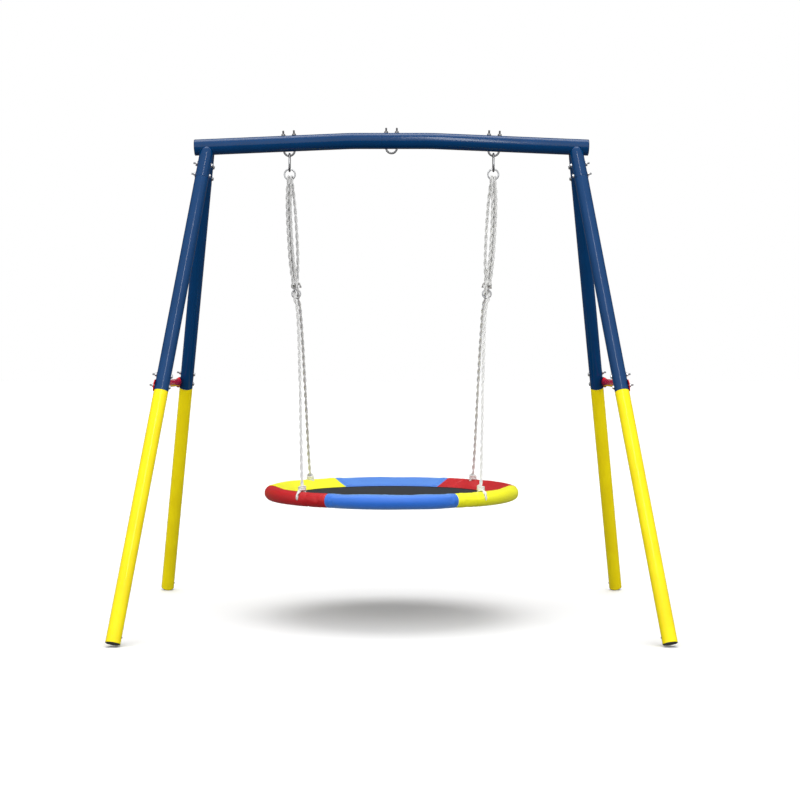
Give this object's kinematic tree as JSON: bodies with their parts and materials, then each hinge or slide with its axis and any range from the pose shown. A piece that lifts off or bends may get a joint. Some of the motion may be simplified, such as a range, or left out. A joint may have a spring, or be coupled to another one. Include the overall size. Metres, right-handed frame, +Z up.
{
  "type": "saucer swing",
  "caption": "Round padded saucer swing with a flat dark mat, hung by knotted ropes, rings and snap hooks from a blue and yellow metal A-frame with red side braces.",
  "frame": {"origin": "on the ground, at the middle of the stand below the beam", "axes": "+X along the beam to the right, +Z up, -Y towards the front"},
  "size_m": [2.0124, 1.527, 1.9211],
  "materials": {
    "frame_blue": "gloss powder coat",
    "leg_yellow": "gloss powder coat",
    "brace_red": "gloss powder coat",
    "zinc_steel": "zinc plated",
    "black_plastic": "moulded",
    "white_rope": "twisted strands",
    "cover_blue": "coated cloth over foam",
    "cover_yellow": "coated cloth over foam",
    "cover_red": "coated cloth over foam",
    "mat_fabric": "woven"
  },
  "bodies": {
    "stand": {"left_beam": "frame_blue", "right_beam": "frame_blue", "upper_leg_left_front": "frame_blue", "lower_leg_left_front": "leg_yellow", "foot_plug_left_front": "black_plastic", "stub_bolt_upper_left_front": "zinc_steel", "stub_bolt_lower_left_front": "zinc_steel", "mid_bolt_upper_left_front": "zinc_steel", "mid_bolt_lower_left_front": "zinc_steel", "upper_leg_left_rear": "frame_blue", "lower_leg_left_rear": "leg_yellow", "foot_plug_left_rear": "black_plastic", "stub_bolt_upper_left_rear": "zinc_steel", "stub_bolt_lower_left_rear": "zinc_steel", "mid_bolt_upper_left_rear": "zinc_steel", "mid_bolt_lower_left_rear": "zinc_steel", "upper_leg_right_front": "frame_blue", "lower_leg_right_front": "leg_yellow", "foot_plug_right_front": "black_plastic", "stub_bolt_upper_right_front": "zinc_steel", "stub_bolt_lower_right_front": "zinc_steel", "mid_bolt_upper_right_front": "zinc_steel", "mid_bolt_lower_right_front": "zinc_steel", "upper_leg_right_rear": "frame_blue", "lower_leg_right_rear": "leg_yellow", "foot_plug_right_rear": "black_plastic", "stub_bolt_upper_right_rear": "zinc_steel", "stub_bolt_lower_right_rear": "zinc_steel", "mid_bolt_upper_right_rear": "zinc_steel", "mid_bolt_lower_right_rear": "zinc_steel", "side_brace_left": "brace_red", "side_brace_right": "brace_red", "ubolt_left": "zinc_steel", "ubolt_centre": "zinc_steel", "ubolt_right": "zinc_steel"},
    "left_hook": {"snap_hook_left": "zinc_steel"},
    "left_gate": {"hook_gate_left": "zinc_steel"},
    "left_ropes": {"top_ring_left": "zinc_steel", "lower_ring_left": "zinc_steel", "rope_left_front": "white_rope", "rope_left_rear": "white_rope"},
    "right_hook": {"snap_hook_right": "zinc_steel"},
    "right_gate": {"hook_gate_right": "zinc_steel"},
    "right_ropes": {"top_ring_right": "zinc_steel", "lower_ring_right": "zinc_steel", "rope_right_front": "white_rope", "rope_right_rear": "white_rope"},
    "seat": {"tie_left_front": "white_rope", "tie_left_rear": "white_rope", "tie_right_front": "white_rope", "tie_right_rear": "white_rope", "seat_ring": "zinc_steel", "cover_front": "cover_blue", "cover_front_right": "cover_yellow", "cover_rear_right": "cover_red", "cover_rear": "cover_blue", "cover_rear_left": "cover_yellow", "cover_front_left": "cover_red", "mat": "mat_fabric"}
  },
  "joints": [
    {"name": "swing", "type": "hinge", "parent": "stand", "child": "left_hook", "pos_m": [-0.402, 0, 1.8104], "axis": [1, 0, 0], "range_deg": [-45, 45]},
    {"name": "right_swing", "type": "hinge", "parent": "stand", "child": "right_hook", "pos_m": [0.402, 0, 1.8104], "axis": [1, 0, 0], "range_deg": [-45, 45]},
    {"name": "sway", "type": "hinge", "parent": "left_hook", "child": "left_ropes", "pos_m": [-0.402, 0, 1.7507], "axis": [0, 1, 0], "range_deg": [-8, 8]},
    {"name": "right_sway", "type": "hinge", "parent": "right_hook", "child": "right_ropes", "pos_m": [0.402, 0, 1.7507], "axis": [0, 1, 0], "range_deg": [-8, 8]},
    {"name": "seat_level", "type": "hinge", "parent": "left_ropes", "child": "seat", "pos_m": [-0.33643, 0, 0.53797], "axis": [0, 1, 0], "range_deg": [-10, 10]},
    {"name": "left_gate_turn", "type": "hinge", "parent": "left_hook", "child": "left_gate", "pos_m": [-0.402, -0.014, 1.7717], "axis": [-1, 0, 0], "range_deg": [0, 20], "stiffness_Nm_per_rad": 0.02, "springref_deg": -20.05},
    {"name": "right_gate_turn", "type": "hinge", "parent": "right_hook", "child": "right_gate", "pos_m": [0.402, -0.014, 1.7717], "axis": [-1, 0, 0], "range_deg": [0, 20], "stiffness_Nm_per_rad": 0.02, "springref_deg": -20.05}
  ],
  "couplings": [
    {"joint": "right_swing", "follows": "swing", "ratio": 1},
    {"joint": "right_sway", "follows": "sway", "ratio": 1},
    {"joint": "seat_level", "follows": "sway", "ratio": -1.1949}
  ]
}
